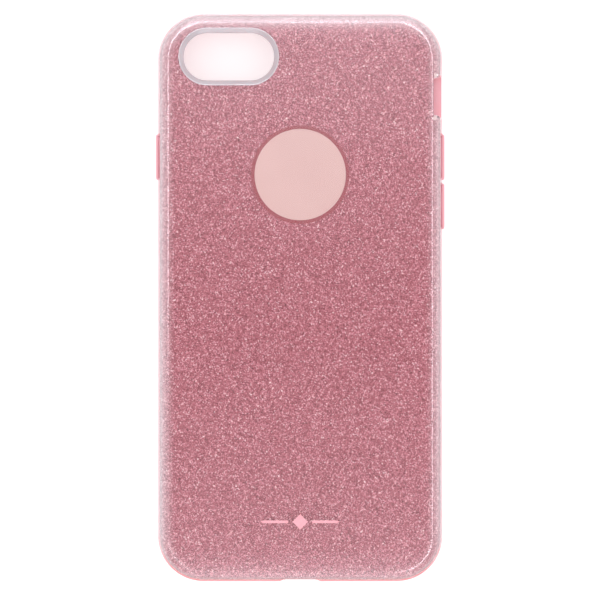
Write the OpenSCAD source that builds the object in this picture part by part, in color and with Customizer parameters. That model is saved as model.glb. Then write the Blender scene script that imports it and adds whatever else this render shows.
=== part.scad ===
// Slim layered case for a 4.7 inch phone: a soft bumper shell, a glitter sheet bonded to
// its back, a hard clear cover over the sheet, and three button covers that press through
// the bumper on thin flexible webs.
//
// Frame: the case lies face down on its screen-side lip. X runs across it, to the right
// seen from behind, Y runs from the charging port edge to the top edge, and Z runs up
// from the lip to the decorated back. The origin is under the middle of the case.

/* [Phone] */
// Width of the phone
phone_w = 67.3; // [65:0.1:75]
// Height of the phone
phone_h = 138.4; // [130:0.1:160]
// Thickness of the phone
phone_t = 7.3; // [7:0.1:8.5]
// Radius of the phone's rounded back edge
phone_edge_r = 3.4; // [2.8:0.1:3.6]

/* [Bumper] */
// Thickness of the side walls
wall = 2; // [1.8:0.05:2.4]
// Free space all round the phone
fit_gap = 0.1; // [0.05:0.05:0.2]
// Plan radius of the outer corners
corner_r = 11.5; // [11:0.1:13]
// Height of the lip above the screen
lip_h = 0.9; // [0.6:0.1:1.4]
// Width of the lip that laps over the screen's edge
lip_lap = 1.2; // [0.8:0.1:1.8]
// Thickness of the floor behind the phone
floor_t = 0.55; // [0.5:0.05:1]

/* [Back layers] */
// Thickness of the hard clear cover
cover_t = 0.8; // [0.6:0.05:1]
// Thickness of the glitter sheet
sheet_t = 0.15; // [0.1:0.05:0.2]
// Thickness of the adhesive under the glitter sheet
adhesive_t = 0.1; // [0.1:0.05:0.15]
// Radius of the cover's rounded edge
edge_r = 2.4; // [2.2:0.1:2.6]
// Distance that the bumper stands out past the cover's edge
bumper_proud = 0.35; // [0.2:0.05:0.5]

/* [Camera opening] */
// Centre of the opening, to the left of the middle seen from behind
camera_left = 17.9; // [16:0.1:19]
// Centre of the opening, below the top edge
camera_drop = 10.9; // [10.5:0.1:13]
// Straight length between the opening's round ends
camera_straight = 10.8; // [9:0.1:12]
// Radius of the opening's round ends
camera_r = 5.95; // [5.5:0.05:6.2]
// Width of the clear collar round the opening
collar_w = 1.3; // [1:0.05:1.4]

/* [Window] */
// Centre of the round window, below the top edge
window_drop = 40.5; // [38:0.1:60]
// Radius of the clear window
window_r = 11.45; // [9:0.05:14]
// Width of the printed ring round the window
window_ring_w = 0.9; // [0.6:0.05:1.5]

/* [Buttons and switch] */
// Centre of the power and volume up buttons, below the top edge
button_drop = 35.9; // [35:0.1:38]
// Spacing of the two volume buttons
volume_pitch = 12.4; // [12.3:0.05:14]
// Length of a button cover
button_l = 11.4; // [9:0.1:11.4]
// Width of a button cover
button_w = 2.6; // [2.2:0.1:3]
// Distance that a button cover stands out of the wall
button_proud = 0.65; // [0.5:0.05:1]
// Centre of the mute switch notch, below the top edge
switch_drop = 20.9; // [20:0.1:22]
// Length of the notch at the outside
switch_l = 11.2; // [10:0.1:12]

/* [Bottom edge] */
// Width of the charging port opening
port_w = 10.4; // [9:0.1:12]
// Height of the charging port opening
port_h = 5.6; // [4.5:0.1:5.8]
// Width of the shallow recess round the port
recess_w = 11; // [10:0.1:13]
// Depth of the recess
recess_d = 0.57; // [0.4:0.01:0.8]
// Length of each sound slot
slot_l = 12; // [8:0.5:14]
// Width of each sound slot
slot_w = 2.4; // [1.5:0.1:3]
// Centre of each sound slot, to the side of the middle
slot_x = 16.5; // [16:0.5:17]

/* [Mark] */
// Overall width of the ornament on the back
mark_w = 19.8; // [12:0.1:24]
// Height of the ornament's diamond
mark_h = 3.9; // [2:0.1:5]
// Centre of the ornament, above the bottom edge
mark_rise = 15.1; // [12:0.1:30]

/* [Hidden] */
$fn = 96;
cut = 1;                      // how far a cutter runs past the faces it opens

pocket_inset = wall + fit_gap;
case_w = phone_w + 2 * pocket_inset;
case_h = phone_h + 2 * pocket_inset;
straight_w = case_w - 2 * corner_r;
straight_h = case_h - 2 * corner_r;

top_y = case_h / 2;
bottom_y = -case_h / 2;

// Levels above the screen-side lip
floor_z = lip_h + phone_t + fit_gap;
adhesive_z = floor_z + floor_t;
sheet_z = adhesive_z + adhesive_t;
cover_z = sheet_z + sheet_t;
case_t = cover_z + cover_t;
shoulder_z = case_t - edge_r;
middle_z = lip_h + phone_t / 2;

// Radii measured outward from the corner centres
layer_r = corner_r - bumper_proud - edge_r;
pocket_r = corner_r - pocket_inset;
flat_r = pocket_r - phone_edge_r;
lip_r = pocket_r - lip_lap;
screen_edge_r = 2.5;
lip_round = 0.9;
lip_inner_round = 0.5;
shoulder_round = 0.25;

// Button cover, its web and the slot for both
button_r = button_w / 2;
button_straight = button_l - button_w;
web_w = 0.3;
web_rise = 0.45;
web_t = 0.5;
web_foot = 0.1;               // depth of the web's top below the wall's face, at the wall
button_inner = 1.5;           // depth of the button's inner face below the wall's face

// Mute switch notch
switch_deep = 2.35;
switch_slope = 0.9;
switch_floor_z = 2.6;

foil_t = 0.08;
bar_t = 0.7;
diamond_gap = 1.1;

// Plan of the case whose corners have the given radius.
module plan(r) {
    for (x = [-1, 1], y = [-1, 1])
        translate([x * straight_w / 2, y * straight_h / 2])
            circle(r = r);
    square([straight_w + 2 * r, straight_h], center = true);
    square([straight_w, straight_h + 2 * r], center = true);
}

// Sweeps a profile round the case. The profile's x runs outward from the corner centres,
// and its y is the height above the screen-side lip.
module rim() {
    for (i = [0:3]) {
        side = [[1, 1], [-1, 1], [-1, -1], [1, -1]][i];
        run = i % 2 == 0 ? straight_h : straight_w;
        translate([side[0] * straight_w / 2, side[1] * straight_h / 2, 0])
            rotate(90 * i) {
                rotate_extrude(angle = 90) children();
                rotate([90, 0, 0]) linear_extrude(run) children();
            }
    }
}

// Quarter ring that carries a back layer round the edge of the case.
module layer_profile(r_out, r_in) {
    translate([layer_r, shoulder_z])
        intersection() {
            difference() {
                circle(r = r_out);
                circle(r = r_in);
            }
            square(r_out);
        }
}

// One thin layer of the back, flat in the middle and wrapped round the edge.
module layer(z, t) {
    translate([0, 0, z]) linear_extrude(t) plan(layer_r);
    rim() layer_profile(z + t - shoulder_z, z - shoulder_z);
}

// Oblong with round ends, its long side along y.
module oblong(straight, r) {
    for (end = [-1, 1])
        translate([0, end * straight / 2]) circle(r = r);
    square([2 * r, straight], center = true);
}

// Oblong block whose radius changes from r_low to r_high over its height.
module oblong_cone(straight, r_low, r_high, h) {
    for (end = [-1, 1])
        translate([0, end * straight / 2, 0]) cylinder(h = h, r1 = r_low, r2 = r_high);
    translate([0, straight / 2, 0])
        rotate([90, 0, 0])
            linear_extrude(straight)
                polygon([[-r_low, 0], [r_low, 0], [r_high, h], [-r_high, h]]);
}

// Removes a corner at the origin of the first quadrant and leaves it round.
module corner_round(r) {
    difference() {
        translate([-cut, -cut]) square(r + cut);
        translate([r, r]) circle(r = r);
    }
}

module at_camera() {
    translate([-camera_left, top_y - camera_drop, 0])
        rotate(90)
            children();
}

// Hole for the camera collar through the layers under the cover.
module camera_cut() {
    at_camera()
        linear_extrude(case_t + cut)
            oblong(camera_straight, camera_r + collar_w);
}

module window_disc(r, z, t) {
    translate([0, top_y - window_drop, z]) cylinder(h = t, r = r);
}

// Notch in the right-hand edge, open to the back, that uncovers the mute switch.
module switch_cut() {
    half = switch_l / 2;
    translate([case_w / 2, top_y - switch_drop, switch_floor_z])
        linear_extrude(case_t)
            polygon([
                [cut, -half - switch_slope * cut / switch_deep],
                [cut, half + switch_slope * cut / switch_deep],
                [-switch_deep, half - switch_slope],
                [-switch_deep, -half + switch_slope]
            ]);
}

// Shallow recess round the charging port, with sides that ease in and out.
module recess_cut() {
    steps = 8;
    ease_w = 2.2;
    half = recess_w / 2;
    side = [
        for (i = [0:steps])
            [half - ease_w * i / steps, recess_d * (1 - cos(180 * i / steps)) / 2]
    ];
    left = [for (i = [steps:-1:0]) [-side[i][0], side[i][1]]];
    translate([0, bottom_y, -cut])
        linear_extrude(case_t + 2 * cut)
            polygon(concat([[-half, -cut], [half, -cut]], side, left));
}

// Opening along y through the bottom wall, its long side along x.
module bottom_cut(x, width, height) {
    translate([x, bottom_y - cut, middle_z])
        rotate([-90, 90, 0])
            linear_extrude(pocket_inset + phone_edge_r + cut)
                oblong(width - height, height / 2);
}

// Section of the bumper's wall, from the flat of the floor out to the wall's face.
module wall_section() {
    difference() {
        union() {
            translate([lip_r, 0]) square([corner_r - lip_r, shoulder_z]);
            translate([flat_r, middle_z]) square([layer_r - flat_r, adhesive_z - middle_z]);
            layer_profile(adhesive_z - shoulder_z, 0);
        }
        translate([flat_r, floor_z - phone_edge_r]) circle(r = phone_edge_r);
        translate([pocket_r - screen_edge_r, lip_h + screen_edge_r]) circle(r = screen_edge_r);
        translate([0, lip_h + screen_edge_r])
            square([pocket_r, floor_z - phone_edge_r - lip_h - screen_edge_r]);
        translate([0, lip_h])
            square([pocket_r - screen_edge_r, floor_z - phone_edge_r - lip_h]);
        translate([lip_r, 0]) corner_round(lip_inner_round);
        translate([corner_r, 0]) mirror([1, 0]) corner_round(lip_round);
        translate([corner_r, shoulder_z]) rotate(180) corner_round(shoulder_round);
    }
}

// Stands children on a side wall: their z runs out of the wall from the wall's face.
module on_side(side, drop) {
    translate([side * case_w / 2, top_y - drop, middle_z])
        rotate([0, side * 90, 0])
            children();
}

module button_slot(side, drop) {
    on_side(side, drop)
        translate([0, 0, -pocket_inset - cut])
            linear_extrude(pocket_inset + 2 * cut)
                oblong(button_straight, button_r + web_w);
}

module bumper_shell() {
    color("#e58c98", 0.9)
        difference() {
            union() {
                rim() wall_section();
                translate([0, 0, floor_z]) linear_extrude(floor_t) plan(flat_r);
                window_disc(window_r, adhesive_z - floor_t / 2, floor_t / 2 + adhesive_t + sheet_t);
            }
            camera_cut();
            switch_cut();
            recess_cut();
            bottom_cut(0, port_w, port_h);
            for (side = [-1, 1])
                bottom_cut(side * slot_x, slot_l, slot_w);
            button_slot(-1, button_drop);
            for (i = [0, 1])
                button_slot(1, button_drop + i * volume_pitch);
        }
}

module adhesive_film() {
    color("#f4ece6", 0.6)
        difference() {
            layer(adhesive_z, adhesive_t);
            camera_cut();
            window_disc(window_r, adhesive_z - cut, adhesive_t + 2 * cut);
            switch_cut();
            recess_cut();
        }
}

module glitter_sheet() {
    color("#bc7983")
        difference() {
            layer(sheet_z, sheet_t);
            camera_cut();
            window_disc(window_r + window_ring_w, sheet_z - cut, sheet_t + 2 * cut);
            switch_cut();
            recess_cut();
        }
}

module window_ring() {
    color("#b9707a")
        difference() {
            window_disc(window_r + window_ring_w, sheet_z, sheet_t);
            window_disc(window_r, sheet_z - cut, sheet_t + 2 * cut);
        }
}

// Outline of the ornament: a diamond between two bars with pointed outer ends.
module mark_outline() {
    diamond = mark_h / 2;
    bar_end = mark_w / 2;
    translate([0, bottom_y + mark_rise]) {
        polygon([[diamond, 0], [0, diamond], [-diamond, 0], [0, -diamond]]);
        for (side = [-1, 1])
            scale([side, 1])
                polygon([
                    [diamond + diamond_gap, -bar_t / 2],
                    [bar_end - bar_t, -bar_t / 2],
                    [bar_end, 0],
                    [bar_end - bar_t, bar_t / 2],
                    [diamond + diamond_gap, bar_t / 2]
                ]);
    }
}

module clear_cover() {
    bevel_h = cover_t;
    bevel_w = collar_w - 0.2;
    color("#fbeef0", 0.35)
        difference() {
            union() {
                layer(cover_z, cover_t);
                at_camera()
                    translate([0, 0, floor_z])
                        linear_extrude(case_t - floor_z)
                            oblong(camera_straight, camera_r + collar_w);
            }
            at_camera() {
                linear_extrude(case_t + cut) oblong(camera_straight, camera_r);
                translate([0, 0, case_t - bevel_h])
                    oblong_cone(camera_straight, camera_r, camera_r + bevel_w, bevel_h);
            }
            switch_cut();
            recess_cut();
            translate([0, 0, case_t - foil_t]) linear_extrude(cut) mark_outline();
        }
}

module foil_mark() {
    color("#ffc2ca")
        translate([0, 0, case_t - foil_t])
            linear_extrude(foil_t)
                mark_outline();
}

// Button cover: an oblong plug through the wall with a softened outer face.
module button(side, drop) {
    soft = 0.3;
    color("#f5a3ad")
        on_side(side, drop) {
            translate([0, 0, -button_inner])
                linear_extrude(button_inner + button_proud - soft)
                    oblong(button_straight, button_r);
            translate([0, 0, button_proud - soft])
                oblong_cone(button_straight, button_r, button_r - soft, soft);
        }
}

// Thin sloping web that joins a button cover to the wall and lets it travel.
module button_web(side, drop) {
    slot_r = button_r + web_w;
    top = -web_foot;
    color("#f2aab3")
        on_side(side, drop) difference() {
            union() {
                translate([0, 0, top - web_t]) linear_extrude(web_t) oblong(button_straight, slot_r);
                translate([0, 0, top]) oblong_cone(button_straight, slot_r, button_r, web_rise);
            }
            translate([0, 0, top - web_t])
                oblong_cone(button_straight, slot_r, button_r, web_rise);
            translate([0, 0, top - web_t - cut])
                linear_extrude(web_t + web_rise + 2 * cut)
                    oblong(button_straight, button_r);
        }
}

bumper_shell();
adhesive_film();
glitter_sheet();
window_ring();
clear_cover();
foil_mark();
button(-1, button_drop);  // power_button
button_web(-1, button_drop);  // power_button_web
button(1, button_drop);  // volume_up_button
button_web(1, button_drop);  // volume_up_web
button(1, button_drop + volume_pitch);  // volume_down_button
button_web(1, button_drop + volume_pitch);  // volume_down_web
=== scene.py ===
"""Looks of the layered phone case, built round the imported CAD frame.

The case lies face down: +Z leaves the decorated back, +Y points to the camera end, and
+X to the volume buttons. All sizes are in metres.
"""

import math
import random

import bmesh
import bpy
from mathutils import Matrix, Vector
from mathutils.geometry import delaunay_2d_cdt


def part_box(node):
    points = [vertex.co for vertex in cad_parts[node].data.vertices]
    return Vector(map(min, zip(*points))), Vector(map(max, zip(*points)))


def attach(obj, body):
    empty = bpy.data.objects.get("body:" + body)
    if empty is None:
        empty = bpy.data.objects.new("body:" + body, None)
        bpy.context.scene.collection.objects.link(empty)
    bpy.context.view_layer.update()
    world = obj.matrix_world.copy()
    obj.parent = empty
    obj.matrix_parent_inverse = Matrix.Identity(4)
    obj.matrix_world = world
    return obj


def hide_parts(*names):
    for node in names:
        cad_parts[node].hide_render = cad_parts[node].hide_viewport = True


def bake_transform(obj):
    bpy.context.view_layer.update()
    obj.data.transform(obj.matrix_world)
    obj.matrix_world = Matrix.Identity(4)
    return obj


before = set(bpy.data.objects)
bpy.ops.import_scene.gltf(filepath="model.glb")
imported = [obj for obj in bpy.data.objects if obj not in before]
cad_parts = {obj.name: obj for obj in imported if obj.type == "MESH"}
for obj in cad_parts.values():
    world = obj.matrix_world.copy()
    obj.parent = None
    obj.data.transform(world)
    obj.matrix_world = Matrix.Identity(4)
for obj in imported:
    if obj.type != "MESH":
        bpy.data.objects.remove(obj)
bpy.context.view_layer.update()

MM = 0.001
random.seed(7)

# Driving dimensions that the frame's boxes don't give
CORNER_R = 11.5 * MM  # outer plan corner of the case
LAYER_R = 8.75 * MM  # plan corner of the flat part of the back layers
POCKET_R = 9.4 * MM  # plan corner of the phone's pocket
PHONE_EDGE_R = 3.4 * MM  # roundings in the pocket, for the phone's back and screen edges
SCREEN_EDGE_R = 2.5 * MM
LIP_R = 8.2 * MM  # plan corner of the screen opening
LIP_H = 0.9 * MM
LIP_ROUND = 0.9 * MM
LIP_INNER_ROUND = 0.5 * MM
SHOULDER_ROUND = 0.25 * MM
FLOOR_T = 0.55 * MM
FLOOR_TO_FILM = 0.65 * MM  # floor and adhesive together
CAMERA_STRAIGHT = 10.8 * MM
CAMERA_R = 5.95 * MM
CAMERA_LEFT = 17.9 * MM
CAMERA_DROP = 10.9 * MM
COLLAR_W = 1.3 * MM
COLLAR_CREST = 0.22 * MM  # flat band along the collar's outer edge, above its bevel
WINDOW_RING_W = 0.9 * MM
BUTTON_R = 1.3 * MM
BUTTON_STRAIGHT = 8.8 * MM
BUTTON_INNER = 1.5 * MM  # how far a cap reaches in from the wall's face
BUTTON_PROUD = 0.65 * MM
BUTTON_ROUND = 0.32 * MM  # rounding between a cap's sides and its outer face
WEB_W = 0.3 * MM
SLOT_EASE = 0.12 * MM  # rounding of a button slot's mouth in the wall
RELIEF_DEEP = 0.5 * MM  # how far the rim steps back above a button
RELIEF_SLOPE = 0.35 * MM
SWITCH_L = 11.2 * MM  # notch of the mute switch
SWITCH_DEEP = 2.35 * MM
SWITCH_SLOPE = 0.9 * MM
SWITCH_EASE = 0.45 * MM
SWITCH_DROP = 20.9 * MM
SWITCH_FLOOR_Z = 2.6 * MM
PORT = (10.4 * MM, 5.6 * MM)
PORT_FLARE = 0.35 * MM
SLOT = (12 * MM, 2.4 * MM)
SLOT_FLARE = 0.3 * MM
SLOT_X = 16.5 * MM
OPENING_DEEP = 6 * MM  # how far the cutters of the bottom openings reach in
RECESS_W = 11 * MM  # shallow recess round the port
RECESS_D = 0.57 * MM
RECESS_EASE = 2.2 * MM
BAR_T = 0.7 * MM  # bars of the ornament
DIAMOND_GAP = 1.1 * MM

# Sizes read from the frame
shell_lo, shell_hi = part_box("bumper_shell")
adhesive_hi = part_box("adhesive_film")[1]
film_lo, film_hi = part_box("glitter_sheet")
cover_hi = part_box("clear_cover")[1]
ring_lo, ring_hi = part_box("window_ring")
foil_lo, foil_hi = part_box("foil_mark")

STRAIGHT_X = shell_hi.x - CORNER_R  # half the straight run along each edge
STRAIGHT_Y = shell_hi.y - CORNER_R
SHOULDER_Z = film_lo.z
SHEET_T = ring_hi.z - ring_lo.z
FLOOR_Z = adhesive_hi.z - FLOOR_TO_FILM
ADHESIVE_Z = FLOOR_Z + FLOOR_T
TOP_Z = cover_hi.z
COVER_Z = film_hi.z
MIDDLE_Z = (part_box("power_button")[0].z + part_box("power_button")[1].z) / 2
WINDOW = (ring_lo + ring_hi) / 2
WINDOW_OUTER_R = (ring_hi.x - ring_lo.x) / 2
WINDOW_R = WINDOW_OUTER_R - WINDOW_RING_W
CAMERA = Vector((-CAMERA_LEFT, shell_hi.y - CAMERA_DROP, 0))

# Fineness of the meshes, and the gaps between them
AIR = 0.01 * MM  # gap that keeps touching faces apart
FLAT_EDGE = 0.05 * MM  # narrow flat band that keeps the shading of a large flat face flat
# Depth of the film and the prints that lies inside the clear plastic, with no air between
BONDED = 0.12 * MM
CORNER_STEPS = 20
STRAIGHT_STEPS = 12
FLAKE_PITCH = 0.35 * MM
FLAKE_JITTER = 0.36  # of the pitch
FLAKE_MARGIN = 0.4  # of the pitch, how far the flakes' corners stay from the film's edges
FLAKE_GAP = 0.006 * MM
FLAKE_DEPTH = 0.085 * MM  # how far a flake's corners may dip
FILM_BEND = 3 * MM  # unrolled width of the film's bend round the edge
UNDER_PITCH = 3.2 * MM  # mesh of the film's underside, on the flat
UNDER_SPAN = (80 * MM, 150 * MM)
UNDER_BENDS = (0, 0.5 * MM, MM, 1.5 * MM, 2 * MM)  # its rings along the bend, past the flat
UNDER_MARGIN = 0.3 * MM  # how far its points stay from the film's edges

# Scales of the noises, in cells per metre
FLOW_SCALE = 70
GRAIN_SCALE = 5200
SPECK_SCALE = 4200
MOTTLE_SCALE = 2200
MILK_DEPTH = 1.2 * MM  # how far light wanders inside the soft plastic

# Colours of the flakes, from the darkest to the brightest, on the flat, and painted paler at the outer
# edge as a painted reflection
FLAKE_COLOURS = (
    (0.08, (114, 42, 54)),
    (0.35, (161, 74, 89)),
    (0.60, (190, 104, 119)),
    (0.82, (226, 156, 169)),
    (0.96, (248, 232, 235)),
)
PAINTED_REFLECTION_COLOURS = (
    (0.08, (208, 184, 192)),
    (0.40, (226, 212, 218)),
    (0.60, (234, 224, 229)),
    (0.90, (247, 243, 245)),
)
# Flakes near the outer edge are painted paler, a painted reflection of the bright room in the cover's
# rounded edge: how far in that reaches, and how pale each side gets
RIM_WIDTH = 4.5 * MM
RIM_FALL = 1.6
RIM_PAINTED_REFLECTION = {"left": 1.0, "right": 0.85, "top": 1.3, "bottom": 0.28}
# The steepest flakes, next to the film's edge, are painted paler still, more painted reflection
STEEP_WIDTH = 0.45 * MM
STEEP_PAINTED_REFLECTION = {"left": 0.85, "right": 0.3, "top": 0.95, "bottom": 0.75}

# Where the bumper's colour turns paler under the cover, painted light, and deeper towards the port end
LEDGE_PAINTED_LIGHT_TURN = (SHOULDER_Z - 1.2 * MM, SHOULDER_Z - 0.3 * MM)
PORT_TURN = (-STRAIGHT_Y, -STRAIGHT_Y - 9 * MM)
# Where a web's colour turns from the painted shade in the groove to the outer colour, round the wall's
# face
WEB_SHADE_TURN = (shell_hi.x - 0.05 * MM, shell_hi.x + 0.07 * MM)

# Camera, straight above the back
LENS = 180
CAMERA_DISTANCE = 0.754
AIM = (-0.05 * MM, -0.63 * MM)

# Light
PAPER_GLOW = 0.35
PAPER_SPAN = 6.0
SKY_LEVEL = 1.4
LOW_DIM = 0.55  # share of the sky that gloss loses near the floor
COOL = (0.96, 0.98, 1.05, 1)
ENDS_LEVEL = 9.5
SIDES_LEVEL = 6.5
STRIPS_LEVEL = 1.45  # against the boxes further out to the sides
HAZE_LEVEL = 5.0
FINE = 8  # stretches the directions close to straight up
# Soft boxes, as stops of (component of the direction, level)
END_BOXES = (
    (-0.9, 0.42),
    (-0.2, 0.42),
    (-0.12, 0.3),
    (-0.1, 0),
    (0.14, 0),
    (0.24, 1),
    (0.6, 1),
    (0.85, 0.4),
)
SIDE_BOXES = ((-0.95, 0.1), (-0.8, 0.13), (-0.3, 0.06), (-0.2, 0), (0.8, 0), (0.95, 0.3))
BOX_SPAN = ((-0.5, 0), (-0.2, 1), (0.2, 1), (0.5, 0))
LEFT_STRIP = ((-0.5, 1), (-0.44, 0), (0, 0))
LEFT_STRIP_SPAN = ((-0.3, 0.12), (0.1, 1))
RIGHT_STRIP = ((0, 0), (0.44, 0), (0.5, 0.8))
STRIP_REACH = ((-0.27, 0), (-0.21, 1), (0.21, 1), (0.27, 0))
HAZE = (
    (-0.78, 0.85),
    (-0.71, 0.62),
    (-0.66, 0.3),
    (-0.52, 0.18),
    (-0.4, 0.11),
    (-0.27, 0.06),
    (-0.1, 0),
    (0.1, 0.05),
    (0.35, 0.17),
    (0.5, 0.34),
    (0.59, 0.42),
    (0.67, 0.44),
    (0.7, 0.6),
    (0.73, 1),
)
HAZE_REACH = ((-0.2, 0), (-0.12, 1), (0.12, 1), (0.2, 0))
ABOVE_FLOOR = ((0.05, 0), (0.35, 1))
NEAR_FLOOR = ((0, LOW_DIM), (0.35, 0))

# Each button's body, the side it is on and where along it
BUTTONS = [
    (body, 1 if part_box(node)[0].x > 0 else -1, (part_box(node)[0].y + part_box(node)[1].y) / 2)
    for body, node in (
        ("power", "power_button"),
        ("volume_up", "volume_up_button"),
        ("volume_down", "volume_down_button"),
    )
]


# ---------------------------------------------------------------- mesh helpers


def stations(corner_steps=CORNER_STEPS, straight_steps=STRAIGHT_STEPS):
    """Points of the loop round the case, as (foot, outward direction).

    A point of the case is foot + direction * radius.
    """
    found = []
    for quarter, (sx, sy) in enumerate(((1, 1), (-1, 1), (-1, -1), (1, -1))):
        centre = Vector((sx * STRAIGHT_X, sy * STRAIGHT_Y, 0))
        for i in range(corner_steps + 1):
            a = math.pi / 2 * (quarter + i / corner_steps)
            found.append((centre, Vector((math.cos(a), math.sin(a), 0))))
        nx, ny = ((-1, 1), (-1, -1), (1, -1), (1, 1))[quarter]
        following = Vector((nx * STRAIGHT_X, ny * STRAIGHT_Y, 0))
        for i in range(1, straight_steps):
            found.append((centre.lerp(following, i / straight_steps), found[-1][1]))
    return found


def arc(centre, radius, start, end, steps):
    """Points of an arc in a profile's plane, with its angles in degrees."""
    turn = [math.radians(start + (end - start) * i / steps) for i in range(steps + 1)]
    return [(centre[0] + radius * math.cos(a), centre[1] + radius * math.sin(a)) for a in turn]


def oblong(straight, radius, steps=16):
    """Outline with round ends, its long side along the first coordinate."""
    right = arc((straight / 2, 0), radius, -90, 90, steps)
    return right + [(-x, -y) for x, y in right]


def new_object(name, verts, faces):
    mesh = bpy.data.meshes.new(name)
    mesh.from_pydata([tuple(v) for v in verts], [], faces)
    mesh.update()
    obj = bpy.data.objects.new(name, mesh)
    bpy.context.scene.collection.objects.link(obj)
    return obj


def lofted(name, rings):
    """Closed solid through rings of equally many points, with flat ends."""
    n = len(rings[0])
    verts = [v for ring in rings for v in ring]
    faces = [tuple(range(n)), tuple((len(rings) - 1) * n + i for i in reversed(range(n)))]
    for k in range(len(rings) - 1):
        for i in range(n):
            j = (i + 1) % n
            faces.append((k * n + i, (k + 1) * n + i, (k + 1) * n + j, k * n + j))
    obj = new_object(name, verts, faces)
    face_outward(obj)
    return obj


def banded(name, rings):
    """Closed ring-shaped solid through rings of equally many points, the last joined to the first."""
    n = len(rings[0])
    verts = [v for ring in rings for v in ring]
    faces = []
    for k in range(len(rings)):
        following = (k + 1) % len(rings)
        for i in range(n):
            j = (i + 1) % n
            faces.append((k * n + i, following * n + i, following * n + j, k * n + j))
    obj = new_object(name, verts, faces)
    face_outward(obj)
    return obj


def face_outward(obj):
    work = bmesh.new()
    work.from_mesh(obj.data)
    bmesh.ops.recalc_face_normals(work, faces=work.faces)
    work.to_mesh(obj.data)
    work.free()


def swept(name, profile, loop):
    """Closed solid whose profile runs round the case from one flat face to the other.

    The profile's points are (outward radius, height).
    """
    rings = [[foot + out * r + Vector((0, 0, z)) for foot, out in loop] for r, z in profile]
    return lofted(name, rings)


def combine(obj, others, operation):
    """Applies booleans with the other objects and deletes them."""
    for other in others:
        step = obj.modifiers.new("cut", "BOOLEAN")
        step.operation = operation
        step.solver = "EXACT"
        step.object = other
    bake_modifiers(obj)
    for other in others:
        bpy.data.meshes.remove(other.data)
    return obj


def bake_modifiers(obj):
    shaped = obj.evaluated_get(bpy.context.evaluated_depsgraph_get())
    mesh = bpy.data.meshes.new_from_object(shaped)
    mesh.name = obj.name
    obj.modifiers.clear()
    old = obj.data
    obj.data = mesh
    bpy.data.meshes.remove(old)


def smooth(obj, angle=32):
    obj.data.polygons.foreach_set("use_smooth", [True] * len(obj.data.polygons))
    obj.data.set_sharp_from_angle(angle=math.radians(angle))


def dress(obj, body, material):
    obj.data.materials.clear()
    obj.data.materials.append(material)
    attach(obj, body)
    return obj


# ---------------------------------------------------------------- materials


def shader(name):
    """A new material with an empty node tree, as (material, add, link)."""
    material = bpy.data.materials.new(name)
    material.use_nodes = True
    tree = material.node_tree
    tree.nodes.clear()

    def add(kind, **settings):
        node = tree.nodes.new("ShaderNode" + kind)
        for key, value in settings.items():
            if key in node.inputs.keys():
                node.inputs[key].default_value = value
            else:
                setattr(node, key, value)
        return node

    def link(source, target):
        tree.links.new(source, target)

    return material, add, link


def show(add, link, surface):
    """Ends a material's nodes with that surface."""
    out = add("OutputMaterial")
    link(surface, out.inputs["Surface"])


def tint(red, green, blue):
    """A linear colour from one written in 0-255 sRGB."""
    def linear(value):
        value /= 255
        return value / 12.92 if value <= 0.04045 else ((value + 0.055) / 1.055) ** 2.4
    return (linear(red), linear(green), linear(blue), 1)


def noise(add, link, place, scale, detail):
    """Noise in the object's own coordinates."""
    cells = add("TexNoise", Scale=scale, Detail=detail)
    link(place.outputs["Object"], cells.inputs["Vector"])
    return cells.outputs["Fac"]


def colour_ramp(add, link, value, stops):
    """Colours that follow a value, through stops of (value, colour)."""
    shade = add("ValToRGB")
    ramp = shade.color_ramp
    while len(ramp.elements) < len(stops):
        ramp.elements.new(0.5)
    for element, (position, colour) in zip(ramp.elements, stops):
        element.position = position
        element.color = colour
    link(value, shade.inputs["Fac"])
    return shade.outputs["Color"]


def mixed(add, link, kind, share, first, second):
    """Blend of two numbers or colours; the first is a socket, the second a socket or a plain value."""
    node = add("Mix", data_type=kind)
    factor, a, b = [socket for socket in node.inputs if socket.enabled]
    result = next(socket for socket in node.outputs if socket.enabled)
    if isinstance(share, float):
        factor.default_value = share
    else:
        link(share, factor)
    link(first, a)
    if isinstance(second, tuple):
        b.default_value = second
    else:
        link(second, b)
    return result


def bumped(add, link, height, strength, distance):
    bump = add("Bump", Strength=strength, Distance=distance)
    link(height, bump.inputs["Height"])
    return bump.outputs["Normal"]


def soft_plastic(name, colour, deep, roughness=0.36, milky=0.55, grain=0.012, blends=()):
    """Slightly translucent moulded soft plastic, with a fine moulded grain and faint flow marks.

    Each blend is (axis, start, end, colour): the colour takes over between two places on the axis.
    """
    material, add, link = shader(name)
    place = add("TexCoord")
    flow = noise(add, link, place, FLOW_SCALE, 2)
    base = colour_ramp(add, link, flow, ((0.35, deep), (0.65, colour)))
    apart = add("SeparateXYZ")
    link(place.outputs["Object"], apart.inputs["Vector"])
    for axis, start, end, blended in blends:
        toward = add("MapRange", **{"From Min": start, "From Max": end})
        link(apart.outputs[axis], toward.inputs["Value"])
        base = mixed(add, link, "RGBA", toward.outputs["Result"], base, blended)
    fine = noise(add, link, place, GRAIN_SCALE, 3)
    spread = add("MapRange", **{"To Min": roughness - 0.05, "To Max": roughness + 0.07})
    link(fine, spread.inputs["Value"])
    body = add("BsdfPrincipled", IOR=1.5)
    body.inputs["Subsurface Weight"].default_value = milky
    body.inputs["Subsurface Radius"].default_value = (1.0, 0.45, 0.42)
    body.inputs["Subsurface Scale"].default_value = MILK_DEPTH
    link(base, body.inputs["Base Color"])
    link(spread.outputs["Result"], body.inputs["Roughness"])
    link(bumped(add, link, fine, 0.25, grain * MM), body.inputs["Normal"])
    show(add, link, body.outputs["BSDF"])
    return material


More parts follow.
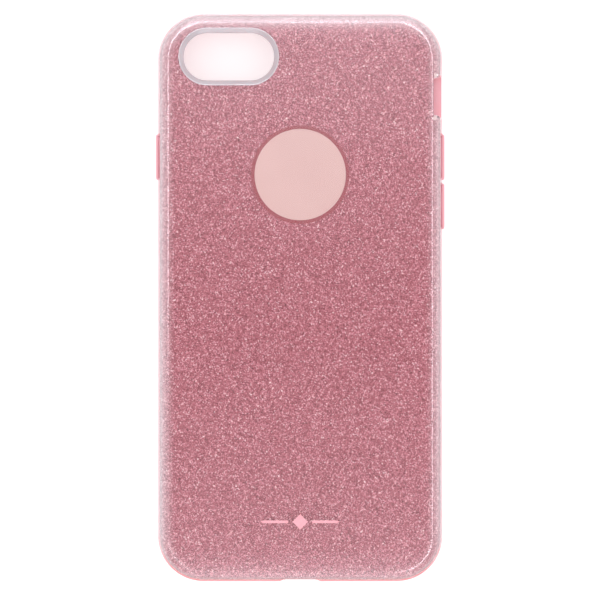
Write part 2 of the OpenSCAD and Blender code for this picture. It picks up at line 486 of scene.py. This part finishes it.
def clear_plastic(name, colour, haze):
    """Polished clear plastic that lets lamp light through, with a little milky scatter."""
    material, add, link = shader(name)
    glass = add("BsdfPrincipled", Roughness=0.012, IOR=1.49)
    glass.inputs["Base Color"].default_value = colour
    glass.inputs["Transmission Weight"].default_value = 1
    milk = add("BsdfDiffuse", Color=tint(236, 226, 232))
    cloudy = add("MixShader", Fac=haze)
    link(glass.outputs["BSDF"], cloudy.inputs[1])
    link(milk.outputs["BSDF"], cloudy.inputs[2])
    open_way = add("BsdfTransparent", Color=(0.9, 0.9, 0.9, 1))
    path = add("LightPath")
    through = add("MixShader")
    link(path.outputs["Is Shadow Ray"], through.inputs["Fac"])
    link(cloudy.outputs["Shader"], through.inputs[1])
    link(open_way.outputs["BSDF"], through.inputs[2])
    show(add, link, through.outputs["Shader"])
    return material


def glitter_flakes(name):
    """Flakes whose colour and gloss vary from facet to facet, with a finer sparkle inside each one."""
    material, add, link = shader(name)
    flake = add("Attribute", attribute_name="flake")
    # The rim attribute is each flake's share of painted reflection, paler towards the outer edge
    rim = add("Attribute", attribute_name="rim")
    place = add("TexCoord")
    fine = add("TexVoronoi", Scale=SPECK_SCALE)
    link(place.outputs["Object"], fine.inputs["Vector"])
    speck = add("SeparateColor")
    link(fine.outputs["Color"], speck.inputs["Color"])
    level = mixed(add, link, "FLOAT", 0.45, flake.outputs["Fac"], speck.outputs["Red"])
    bright, pale = [
        colour_ramp(add, link, level, [(position, tint(*colour)) for position, colour in colours])
        for colours in (FLAKE_COLOURS, PAINTED_REFLECTION_COLOURS)
    ]
    body = add("BsdfPrincipled", Metallic=0.6, Roughness=0.34)
    # Flakes blend into the pale colours by that share: a painted reflection at the outer edge
    link(mixed(add, link, "RGBA", rim.outputs["Fac"], bright, pale), body.inputs["Base Color"])
    link(bumped(add, link, speck.outputs["Green"], 0.35, 0.02 * MM), body.inputs["Normal"])
    show(add, link, body.outputs["BSDF"])
    return material


def smooth_print(name, colour, sheen, roughness=0.3):
    """Thin printed or stamped layer with a faint mottle."""
    material, add, link = shader(name)
    mottle = noise(add, link, add("TexCoord"), MOTTLE_SCALE, 4)
    body = add("BsdfPrincipled", Roughness=roughness, Metallic=0)
    body.inputs["Specular IOR Level"].default_value = 0.12
    shade = colour_ramp(add, link, mottle, ((0.3, colour), (0.75, sheen)))
    link(shade, body.inputs["Base Color"])
    link(bumped(add, link, mottle, 0.2, 0.006 * MM), body.inputs["Normal"])
    show(add, link, body.outputs["BSDF"])
    return material


# ---------------------------------------------------------------- cutters


def camera_ring(radius, height):
    """Points of the camera opening's outline at that radius and height."""
    return [CAMERA + Vector((x, y, height)) for x, y in oblong(CAMERA_STRAIGHT, radius, 24)]


def camera_cutter(radius):
    return lofted("camera_cutter", [camera_ring(radius, z) for z in (FLOOR_Z - MM, TOP_Z + MM)])


def window_ring_at(radius, height, steps=96):
    around = [2 * math.pi * i / steps for i in range(steps)]
    return [
        Vector((WINDOW.x + radius * math.cos(a), WINDOW.y + radius * math.sin(a), height))
        for a in around
    ]


def switch_cutter():
    """Prism of the mute switch notch, with its inner corners eased."""
    half = SWITCH_L / 2
    slope = SWITCH_SLOPE / SWITCH_DEEP
    inner = half - SWITCH_SLOPE
    outer = half + slope * MM
    ease = SWITCH_EASE
    low = arc((-SWITCH_DEEP + ease, -inner + ease), ease, 180, 290, 6)
    right = [(MM, -outer), (MM, outer)]
    high = [(x, -y) for x, y in reversed(low)]
    y = shell_hi.y - SWITCH_DROP
    outline = low + right + high
    rings = [
        [Vector((shell_hi.x + u, y + v, z)) for u, v in outline]
        for z in (SWITCH_FLOOR_Z, TOP_Z + MM)
    ]
    return lofted("switch_cutter", rings)


def recess_cutter():
    """Prism of the shallow recess round the charging port."""
    half = RECESS_W / 2
    steps = 12
    side = []
    for i in range(steps + 1):
        part = i / steps
        rise = RECESS_D * (1 - math.cos(math.pi * part)) / 2
        side.append((half - RECESS_EASE * part, rise))
    outline = [(-half, -MM), (half, -MM)] + side + [(-x, y) for x, y in reversed(side)]
    rings = [
        [Vector((x, shell_lo.y + y, z)) for x, y in outline]
        for z in (-MM, TOP_Z + MM)
    ]
    return lofted("recess_cutter", rings)


def bottom_cutter(x, size, flare):
    """Opening through the bottom wall whose mouth flares outward."""
    width, height = size
    mouth = arc((flare, flare), flare, 180, 270, 6)
    bend = [(grow, flare - inward) for grow, inward in reversed(mouth)]
    depth = [(flare, -MM)] + bend + [(0, OPENING_DEEP)]
    rings = []
    for grow, inward in depth:
        outline = oblong(width - height, height / 2 + grow)
        start = shell_lo.y + (RECESS_D if x == 0 else 0)
        rings.append([Vector((x + u, start + inward, MIDDLE_Z + v)) for u, v in outline])
    return lofted("bottom_cutter", rings)


def wall_rings(side, y, straight, section):
    """Oblong rings on a side wall from a section in (radius, distance out of the wall's face)."""
    face = side * shell_hi.x
    return [
        [Vector((face + side * out, y + u, MIDDLE_Z + v)) for u, v in oblong(straight, radius)]
        for radius, out in section
    ]


def button_slot_cutter(side, y):
    radius = BUTTON_R + WEB_W
    section = [
        (radius, -3 * MM),
        (radius, -SLOT_EASE),
        (radius + SLOT_EASE / 3, -SLOT_EASE / 3),
        (radius + SLOT_EASE, 0),
        (radius + SLOT_EASE, MM),
    ]
    return lofted("slot_cutter", wall_rings(side, y, BUTTON_STRAIGHT, section))


def button_relief_cutter(side, y):
    """Prism that sets the rim back above a button, so that the groove round it shows from above."""
    half = BUTTON_STRAIGHT / 2 + BUTTON_R
    slope = RELIEF_SLOPE / RELIEF_DEEP
    outer = half + RELIEF_SLOPE + slope * MM
    outline = [(-RELIEF_DEEP, -half), (MM, -outer), (MM, outer), (-RELIEF_DEEP, half)]
    rings = [
        [Vector((side * (shell_hi.x + u), y + v, z)) for u, v in outline]
        for z in (MIDDLE_Z + BUTTON_R, TOP_Z + MM)
    ]
    return lofted("relief_cutter", rings)


# ---------------------------------------------------------------- pieces


def bumper_profile():
    """Section from the flat under the layers, over the wall's face and round the lip, to the floor."""
    profile = [(LAYER_R - FLAT_EDGE, ADHESIVE_Z)]
    profile += arc((LAYER_R, SHOULDER_Z), ADHESIVE_Z - SHOULDER_Z, 90, 0, 10)
    shoulder = (CORNER_R - SHOULDER_ROUND, SHOULDER_Z - SHOULDER_ROUND)
    profile += arc(shoulder, SHOULDER_ROUND, 90, 0, 4)
    profile += arc((CORNER_R - LIP_ROUND, LIP_ROUND), LIP_ROUND, 0, -90, 8)
    profile += arc((LIP_R + LIP_INNER_ROUND, LIP_INNER_ROUND), LIP_INNER_ROUND, -90, -180, 6)
    screen_edge = (POCKET_R - SCREEN_EDGE_R, LIP_H + SCREEN_EDGE_R)
    under = -math.degrees(math.acos((LIP_R - screen_edge[0]) / SCREEN_EDGE_R))
    profile += arc(screen_edge, SCREEN_EDGE_R, under, 0, 8)
    back_edge = (POCKET_R - PHONE_EDGE_R, FLOOR_Z - PHONE_EDGE_R)
    profile += arc(back_edge, PHONE_EDGE_R, 0, 90, 12)
    profile.append((back_edge[0] - FLAT_EDGE, FLOOR_Z))
    return profile


def make_bumper():
    bumper = swept("bumper_moulding", bumper_profile(), stations())
    cutters = [camera_cutter(CAMERA_R + COLLAR_W), switch_cutter(), recess_cutter()]
    cutters.append(bottom_cutter(0, PORT, PORT_FLARE))
    cutters += [bottom_cutter(side * SLOT_X, SLOT, SLOT_FLARE) for side in (-1, 1)]
    cutters += [button_slot_cutter(side, y) for _, side, y in BUTTONS]
    cutters += [button_relief_cutter(side, y) for _, side, y in BUTTONS]
    combine(bumper, cutters, "DIFFERENCE")
    smooth(bumper)
    return bumper


def make_cover():
    """Clear cover, flat on top and rounded down to the bumper's shoulder."""
    outer = TOP_Z - SHOULDER_Z
    inner = COVER_Z - BONDED - SHOULDER_Z
    profile = [(LAYER_R - FLAT_EDGE, TOP_Z)]
    profile += arc((LAYER_R, SHOULDER_Z), outer, 90, 0, 20)
    profile += arc((LAYER_R, SHOULDER_Z), inner, 0, 90, 20)
    profile.append((LAYER_R - FLAT_EDGE, COVER_Z - BONDED))
    profile = [(r, max(z, SHOULDER_Z + AIR)) for r, z in profile]
    cover = swept("cover_shell", profile, stations(28, 12))
    cutters = [camera_cutter(CAMERA_R + COLLAR_W + 2 * AIR), switch_cutter(), recess_cutter()]
    cutters += [button_relief_cutter(side, y) for _, side, y in BUTTONS]
    cutters += mark_cutters()
    ends = (COVER_Z - BONDED - MM, COVER_Z + AIR)
    window = [window_ring_at(WINDOW_OUTER_R + AIR, z) for z in ends]
    cutters.append(lofted("window_cutter", window))
    combine(cover, cutters, "DIFFERENCE")
    smooth(cover, 25)
    return cover


def make_collar():
    """Collar that lines the camera opening, with a bevel that rises to the cover's top."""
    inner = CAMERA_R
    outer = CAMERA_R + COLLAR_W
    crest = COLLAR_CREST
    section = [(inner, FLOOR_Z + AIR), (inner, COVER_Z - 0.12 * MM)]
    section += [
        (inner + 0.05 * MM, COVER_Z + 0.02 * MM),
        (inner + 0.18 * MM, COVER_Z + 0.16 * MM),
        (outer - crest - 0.12 * MM, TOP_Z - 0.13 * MM),
        (outer - crest - 0.02 * MM, TOP_Z - 0.04 * MM),
        (outer - crest + 0.07 * MM, TOP_Z - 0.005 * MM),
        (outer - 0.06 * MM, TOP_Z),
        (outer - 0.012 * MM, TOP_Z - 0.012 * MM),
        (outer, TOP_Z - 0.06 * MM),
        (outer, FLOOR_Z + AIR),
    ]
    collar = banded("camera_collar", [camera_ring(r, z) for r, z in section])
    smooth(collar, 40)
    return collar


def mark_shapes():
    """Outlines of the ornament: a diamond between two bars with pointed outer ends."""
    middle = (foil_lo.y + foil_hi.y) / 2
    half = (foil_hi.y - foil_lo.y) / 2
    end = (foil_hi.x - foil_lo.x) / 2
    bar = BAR_T / 2
    start = half + DIAMOND_GAP
    diamond = [(half, 0), (0, half), (-half, 0), (0, -half)]
    right = [(start, -bar), (end - BAR_T, -bar), (end, 0), (end - BAR_T, bar), (start, bar)]
    left = [(-x, y) for x, y in reversed(right)]
    return [[(x, middle + y) for x, y in shape] for shape in (diamond, right, left)]


def mark_cutters():
    ends = (foil_lo.z - AIR, TOP_Z + MM)
    return [
        lofted("mark_cutter", [[Vector((x, y, z)) for x, y in shape] for z in ends])
        for shape in mark_shapes()
    ]


def make_boss():
    """Round boss of the bumper that shows through the window."""
    section = [(WINDOW_R - AIR, ADHESIVE_Z - 0.2 * MM), (WINDOW_R - AIR, COVER_Z - 0.03 * MM)]
    section += [(WINDOW_R - 0.03 * MM, COVER_Z)]
    boss = lofted("window_boss", [window_ring_at(r, z) for r, z in section])
    smooth(boss)
    return boss


def make_cap(name, side, y):
    """Button cap with a rounded, slightly crowned outer face."""
    centre = (BUTTON_R - BUTTON_ROUND, BUTTON_PROUD - BUTTON_ROUND - 0.03 * MM)
    section = [(BUTTON_R, -BUTTON_INNER)]
    section += arc(centre, BUTTON_ROUND, 0, 82, 8)
    section += [
        (BUTTON_R * 0.55, BUTTON_PROUD - 0.01 * MM),
        (BUTTON_R * 0.2, BUTTON_PROUD),
    ]
    cap = lofted(name, wall_rings(side, y, BUTTON_STRAIGHT, section))
    smooth(cap)
    return cap


def make_web(name, side, y):
    """Thin rolling web from the wall to the button cap."""
    upper = [
        (BUTTON_R + WEB_W, -0.1 * MM),
        (BUTTON_R + WEB_W * 0.85, -0.1 * MM),
        (BUTTON_R + WEB_W * 0.68, -0.07 * MM),
        (BUTTON_R + WEB_W * 0.55, -0.03 * MM),
        (BUTTON_R + WEB_W * 0.42, 0.03 * MM),
        (BUTTON_R + WEB_W * 0.25, 0.16 * MM),
        (BUTTON_R + WEB_W * 0.1, 0.28 * MM),
        (BUTTON_R, 0.34 * MM),
    ]
    lower = [
        (BUTTON_R, 0.02 * MM),
        (BUTTON_R + WEB_W * 0.2, 0.0),
        (BUTTON_R + WEB_W * 0.4, -0.06 * MM),
        (BUTTON_R + WEB_W * 0.55, -0.1 * MM),
        (BUTTON_R + WEB_W * 0.7, -0.3 * MM),
        (BUTTON_R + WEB_W, -0.45 * MM),
    ]
    web = banded(name, wall_rings(side, y, BUTTON_STRAIGHT, upper + lower))
    smooth(web, 60)
    return web


# ---------------------------------------------------------------- glitter film


def past_straights(x, y):
    """How far a place is beyond the straight runs' ends, across and along the case."""
    return max(abs(x) - STRAIGHT_X, 0), max(abs(y) - STRAIGHT_Y, 0)


def wrapped(x, y, under):
    """Point that far under the film's outer face, from its place in the unrolled plane."""
    past = Vector(past_straights(x, y))
    reach = past.length
    radius = COVER_Z - SHOULDER_Z
    if reach <= LAYER_R:
        return Vector((x, y, COVER_Z - under))
    turn = (reach - LAYER_R) / radius
    out = Vector((math.copysign(past.x, x), math.copysign(past.y, y))) / reach
    flat = LAYER_R + (radius - under) * math.sin(turn)
    foot_x = math.copysign(min(abs(x), STRAIGHT_X), x)
    foot_y = math.copysign(min(abs(y), STRAIGHT_Y), y)
    place = Vector((foot_x, foot_y)) + out * flat
    return Vector((place.x, place.y, SHOULDER_Z + (radius - under) * math.cos(turn)))


def resampled(outline, pitch):
    """Closed outline with points about one pitch apart."""
    points = []
    for i, start in enumerate(outline):
        end = outline[(i + 1) % len(outline)]
        count = max(1, round((end - start).length / pitch))
        points += [start.lerp(end, k / count) for k in range(count)]
    return points


def film_rim():
    """Outline of the unrolled film, with the bite of the mute switch notch in its right side."""
    radius = COVER_Z - SHOULDER_Z
    reach = LAYER_R + radius * math.pi / 2
    outline = [(foot + out * reach).to_2d() for foot, out in stations(24, 2)]
    middle = shell_hi.y - SWITCH_DROP
    inner_x = shell_hi.x - SWITCH_DEEP
    bite = []
    for i in range(9):
        turn = math.asin((inner_x - AIR - STRAIGHT_X - LAYER_R) / radius)
        turn += (math.pi / 2 - turn) * i / 8
        x = STRAIGHT_X + LAYER_R + radius * math.sin(turn)
        half = SWITCH_L / 2 - SWITCH_SLOPE + SWITCH_SLOPE * (x - inner_x) / SWITCH_DEEP + AIR
        bite.append((STRAIGHT_X + LAYER_R + radius * turn, half))
    notch = [Vector((x, middle - half)) for x, half in reversed(bite)]
    notch += [Vector((x, middle + half)) for x, half in bite]
    return outline + notch


def inside_film(x, y, margin):
    """Whether a point of the unrolled plane is in the film, that far from its edges."""
    past = math.hypot(*past_straights(x, y))
    if past > LAYER_R + (COVER_Z - SHOULDER_Z) * math.pi / 2 - margin:
        return False
    if math.hypot(x - WINDOW.x, y - WINDOW.y) < WINDOW_OUTER_R + AIR + margin:
        return False
    along = max(abs(x - CAMERA.x) - CAMERA_STRAIGHT / 2, 0)
    if math.hypot(along, y - CAMERA.y) < CAMERA_R + COLLAR_W + AIR + margin:
        return False
    near = abs(y - (shell_hi.y - SWITCH_DROP)) < SWITCH_L / 2 + margin
    return not (near and x > shell_hi.x - SWITCH_DEEP - 2 * AIR - margin)


def triangulated(points, rims):
    """Triangles between the outer rim and the holes, through all the points."""
    places = [p for rim in rims for p in rim] + points
    edges = []
    start = 0
    for rim in rims:
        edges += [(start + i, start + (i + 1) % len(rim)) for i in range(len(rim))]
        start += len(rim)
    scaled = [p / MM for p in places]
    verts, _, faces, _, _, _ = delaunay_2d_cdt(scaled, edges, [], 1, 1e-6, False)
    return [v * MM for v in verts], [f for f in faces if in_sheet(verts, f)]


def in_sheet(verts, face):
    """Whether a triangle in the unrolled plane, in millimetres, is part of the film."""
    centre = sum((verts[i] for i in face), Vector((0, 0))) * MM / len(face)
    return inside_film(centre.x, centre.y, -AIR)


def scattered_points():
    """Corners of the flakes, on rows of a jittered grid that stays clear of the film's edges."""
    pitch = FLAKE_PITCH
    reach_x = STRAIGHT_X + LAYER_R + FILM_BEND
    reach_y = STRAIGHT_Y + LAYER_R + FILM_BEND
    points = []
    for row in range(int(2 * reach_y / pitch)):
        for column in range(int(2 * reach_x / pitch)):
            along = column + 0.5 * (row % 2) + random.uniform(-FLAKE_JITTER, FLAKE_JITTER)
            x = -reach_x + pitch * along
            y = -reach_y + pitch * (row + random.uniform(-FLAKE_JITTER, FLAKE_JITTER))
            if inside_film(x, y, FLAKE_MARGIN * pitch):
                points.append(Vector((x, y)))
    return points


def make_film():
    """Sheet of small flat flakes, each tilted its own way, wrapped round the edge of the back."""
    camera = [p.to_2d() for p in camera_ring(CAMERA_R + COLLAR_W + AIR, 0)]
    window = [p.to_2d() for p in window_ring_at(WINDOW_OUTER_R + AIR, 0, 160)]
    rims = [resampled(film_rim(), FLAKE_PITCH), resampled(camera, FLAKE_PITCH), window]
    places, faces = triangulated(scattered_points(), rims)
    top = [wrapped(p.x, p.y, FLAKE_GAP + FLAKE_DEPTH * random.random()) for p in places]
    film = new_object("glitter_film", top, faces)
    close_sheet(film, places, SHEET_T - AIR)
    shade = film.data.attributes.new("flake", "FLOAT", "FACE")
    shade.data.foreach_set("value", [random.random() for _ in film.data.polygons])
    # The rim attribute carries each flake's share of painted reflection, paler towards the outer edge
    rim = film.data.attributes.new("rim", "FLOAT", "FACE")
    rim.data.foreach_set("value", [painted_reflection_share(f.center) for f in film.data.polygons])
    return film


def round_the_edge(place, sides):
    """A value that turns smoothly at the case's corners from one side's to the next one's."""
    past_x, past_y = past_straights(place.x, place.y)
    flank = sides["right" if place.x > 0 else "left"]
    end = sides["top" if place.y > 0 else "bottom"]
    return flank + (end - flank) * past_y / max(math.hypot(past_x, past_y), AIR)


def painted_reflection_share(place):
    """How much painted reflection a flake gets, from 0 on the flat of the back to the side's most at
    the outer edge.
    """
    inside = CORNER_R - math.hypot(*past_straights(place.x, place.y))
    fall = max(1 - inside / RIM_WIDTH, 0) ** RIM_FALL
    share = min(round_the_edge(place, RIM_PAINTED_REFLECTION) * fall, 1)
    film_edge = CORNER_R - LAYER_R - (COVER_Z - SHOULDER_Z)
    steep = max(1 - (inside - film_edge) / STEEP_WIDTH, 0)
    return share + (1 - share) * round_the_edge(place, STEEP_PAINTED_REFLECTION) * steep


def underside_points():
    """Places that the plain underside is meshed through, coarse on the flat and close at the bend."""
    points = []
    width, length = UNDER_SPAN
    for row in range(int(length / UNDER_PITCH)):
        for column in range(int(width / UNDER_PITCH)):
            x = column * UNDER_PITCH - width / 2
            y = row * UNDER_PITCH - length / 2
            flat = math.hypot(*past_straights(x, y)) < LAYER_R - 0.5 * MM
            if flat and inside_film(x, y, 2 * UNDER_MARGIN):
                points.append(Vector((x, y)))
    for past in UNDER_BENDS:
        for foot, out in stations(14, 30):
            p = foot + out * (LAYER_R + past)
            if inside_film(p.x, p.y, UNDER_MARGIN):
                points.append(p.to_2d())
    return points


def close_sheet(film, places, depth):
    """Gives the sheet a plain underside that shares its outline, and walls between the two."""
    work = bmesh.new()
    work.from_mesh(film.data)
    work.verts.ensure_lookup_table()
    rim_edges = [e for e in work.edges if e.is_boundary]
    under = {}
    for edge in rim_edges:
        for v in edge.verts:
            if v.index not in under:
                p = places[v.index]
                under[v.index] = work.verts.new(wrapped(p.x, p.y, depth))
    outline = list(under)
    order = {index: i for i, index in enumerate(outline)}
    edges = [tuple(order[v.index] for v in e.verts) for e in rim_edges]
    scaled = [p / MM for p in [places[i] for i in outline] + underside_points()]
    spots, _, faces, origins, _, _ = delaunay_2d_cdt(scaled, edges, [], 1, 1e-6, True)
    lower = []
    for spot, origin in zip(spots, origins):
        known = [o for o in origin if o < len(outline)]
        if known:
            lower.append(under[outline[known[0]]])
        else:
            lower.append(work.verts.new(wrapped(spot.x * MM, spot.y * MM, depth)))
    for face in faces:
        if in_sheet(spots, face):
            work.faces.new([lower[i] for i in reversed(face)])
    for edge in rim_edges:
        a, b = edge.link_loops[0].vert, edge.link_loops[0].link_loop_next.vert
        work.faces.new([b, a, under[a.index], under[b.index]])
    # Triangles across a bend of an opening's outline hang on it without a neighbour
    stray = [f for f in work.faces if any(e.is_boundary for e in f.edges)]
    bmesh.ops.delete(work, geom=stray, context="FACES")
    bmesh.ops.recalc_face_normals(work, faces=work.faces)
    work.to_mesh(film.data)
    work.free()


# ---------------------------------------------------------------- the scene


def bumper_plastic():
    # Painted light: paler along the ledge under the cover; deeper pink round the port
    edges = (
        ("Z", *LEDGE_PAINTED_LIGHT_TURN, tint(240, 214, 219)),
        ("Y", *PORT_TURN, tint(231, 156, 160)),
    )
    return soft_plastic("bumper_tpu", tint(230, 172, 180), tint(226, 165, 174), blends=edges)


def web_plastic():
    # Painted shade: darker pink down in the groove than outside the wall's face
    inner, outer = WEB_SHADE_TURN
    outside = [("X", side * inner, side * outer, tint(234, 162, 172)) for side in (-1, 1)]
    groove = (tint(188, 112, 124), tint(182, 106, 118))
    return soft_plastic("web_tpu", *groove, milky=0.12, blends=outside)


def make_back():
    """The bumper and the layers of the back."""
    bumper = dress(make_bumper(), "case", bumper_plastic())
    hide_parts("bumper_shell")
    pale = soft_plastic("window_tpu", tint(230, 191, 185), tint(226, 186, 180), milky=0, grain=0.006)
    dress(make_boss(), "case", pale)
    film = dress(make_film(), "case", glitter_flakes("glitter"))
    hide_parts("glitter_sheet")
    clear = clear_plastic("clear_cover", tint(255, 250, 251), 0.02)
    cover = dress(make_cover(), "case", clear)
    frosted = soft_plastic("collar_plastic", tint(200, 189, 195), tint(196, 184, 190), roughness=0.2)
    collar = dress(make_collar(), "case", frosted)
    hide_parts("clear_cover")
    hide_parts("clear_cover")


def dress_prints():
    """Materials of the CAD nodes that are carried over."""
    border = smooth_print("window_border", tint(160, 30, 52), tint(168, 44, 64))
    foil = smooth_print("foil", tint(248, 172, 184), tint(252, 184, 195), 0.5)
    glue = smooth_print("adhesive", tint(238, 214, 212), tint(244, 224, 222), 0.2)
    for node, material in (("window_ring", border), ("foil_mark", foil), ("adhesive_film", glue)):
        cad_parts[node].data.materials.clear()
        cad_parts[node].data.materials.append(material)


def make_buttons():
    """Each button's cap, and the web that rolls between the cap and the wall."""
    cap_plastic = soft_plastic(
        "button_tpu", tint(253, 186, 196), tint(252, 180, 191), roughness=0.3, milky=0.12
    )
    # The web's plastic carries painted shade in the groove
    groove_plastic = web_plastic()
    for body, side, y in BUTTONS:
        cap = dress(make_cap(body + "_cap", side, y), body, cap_plastic)
        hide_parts(body + "_button")
        web = make_web(body + "_skirt", side, y)
        web.data.materials.append(groove_plastic)
        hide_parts("power_button_web" if body == "power" else body + "_web")
        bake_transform(web)


def world_nodes(tree):
    """Helpers that add nodes to the world, as (add, link, math_of, ramp)."""
    def add(kind, **settings):
        node = tree.nodes.new("ShaderNode" + kind)
        for key, value in settings.items():
            setattr(node, key, value)
        return node

    def link(source, target):
        tree.links.new(source, target)

    def math_of(operation, *values):
        node = add("Math", operation=operation)
        for socket, value in zip(node.inputs, values):
            if isinstance(value, (int, float)):
                socket.default_value = value
            else:
                link(value, socket)
        return node.outputs[0]

    def ramp(value, stops):
        """Piecewise linear level of a direction's component, which goes from -1 to 1."""
        node = add("FloatCurve")
        curve = node.mapping.curves[0]
        while len(curve.points) < len(stops):
            curve.points.new(0.5, 0.5)
        for point, (place, level) in zip(curve.points, stops):
            point.location = ((place + 1) / 2, level)
            point.handle_type = "VECTOR"
        node.mapping.extend = "HORIZONTAL"
        node.mapping.update()
        link(math_of("MULTIPLY_ADD", value, 0.5, 0.5), node.inputs["Value"])
        return node.outputs[0]

    return add, link, math_of, ramp


def box_light(math_of, ramp, way):
    """Strength of all the soft boxes and the haze in a direction."""
    x, y, z = way.outputs
    fine_x = math_of("MULTIPLY", x, FINE)
    fine_y = math_of("MULTIPLY", y, FINE)
    # A box over the camera end, and a weaker one over the port end
    end = math_of("MULTIPLY", ramp(y, END_BOXES), ramp(x, BOX_SPAN))
    # Haze from the bright ends of the room, weakest straight above the case
    haze = math_of("MULTIPLY", ramp(fine_y, HAZE), ramp(y, HAZE_REACH))
    haze = math_of("MULTIPLY", haze, ramp(x, HAZE_REACH))
    # Long strips beside the camera, and boxes further out
    strip = math_of("MULTIPLY", ramp(fine_x, LEFT_STRIP), ramp(fine_y, LEFT_STRIP_SPAN))
    strip = math_of("ADD", strip, ramp(fine_x, RIGHT_STRIP))
    strip = math_of("MULTIPLY", strip, ramp(x, STRIP_REACH))
    side = math_of("MAXIMUM", math_of("MULTIPLY", strip, STRIPS_LEVEL), ramp(x, SIDE_BOXES))
    side = math_of("MULTIPLY", side, ramp(y, BOX_SPAN))
    boxes = math_of("MULTIPLY", end, ENDS_LEVEL)
    boxes = math_of("MULTIPLY_ADD", side, SIDES_LEVEL, boxes)
    boxes = math_of("MULTIPLY", boxes, ramp(z, ABOVE_FLOOR))
    return math_of("MULTIPLY_ADD", haze, HAZE_LEVEL, boxes)


def make_sky():
    """Plain white surroundings for lighting, with brighter soft boxes that only gloss mirrors."""
    world = bpy.data.worlds.new("studio")
    world.use_nodes = True
    tree = world.node_tree
    tree.nodes.clear()
    add, link, math_of, ramp = world_nodes(tree)
    way = add("SeparateXYZ")
    link(add("TexCoord").outputs["Generated"], way.inputs[0])
    path = add("LightPath")
    through = path.outputs["Is Transmission Ray"]
    share = math_of("MAXIMUM", math_of("SUBTRACT", path.outputs["Is Glossy Ray"], through), 0.0)
    # Gloss seen at a low angle mirrors a dimmer part of the room near the floor
    dimmed = math_of("MULTIPLY", share, ramp(way.outputs["Z"], NEAR_FLOOR))
    sky = add("Background")
    link(math_of("MULTIPLY_ADD", dimmed, -SKY_LEVEL, SKY_LEVEL), sky.inputs["Strength"])
    lamps = add("Background")
    lamps.inputs["Color"].default_value = COOL
    boxes = box_light(math_of, ramp, way)
    link(math_of("MULTIPLY", boxes, share), lamps.inputs["Strength"])
    both = add("AddShader")
    link(sky.outputs[0], both.inputs[0])
    link(lamps.outputs[0], both.inputs[1])
    out = add("OutputWorld")
    link(both.outputs[0], out.inputs["Surface"])
    bpy.context.scene.world = world


def make_floor():
    """Plain floor of slightly glowing white paper."""
    paper, add, link = shader("paper")
    white = add("BsdfDiffuse", Color=(0.9, 0.9, 0.9, 1))
    glow = add("Emission", Strength=PAPER_GLOW)
    both = add("AddShader")
    link(white.outputs["BSDF"], both.inputs[0])
    link(glow.outputs["Emission"], both.inputs[1])
    show(add, link, both.outputs["Shader"])
    half = PAPER_SPAN / 2
    corners = [(-half, -half, 0), (half, -half, 0), (half, half, 0), (-half, half, 0)]
    floor = new_object("floor", corners, [(0, 1, 2, 3)])
    floor.data.materials.append(paper)


def make_camera():
    """Camera that looks straight down on the back."""
    scene = bpy.context.scene
    scene.view_settings.view_transform = "Standard"
    camera_data = bpy.data.cameras.new("camera")
    camera_data.lens = LENS
    camera = bpy.data.objects.new("camera", camera_data)
    camera.location = (AIM[0], AIM[1], CAMERA_DISTANCE + SHOULDER_Z)
    scene.collection.objects.link(camera)
    scene.camera = camera


make_back()
dress_prints()
make_buttons()
make_sky()
make_floor()
make_camera()
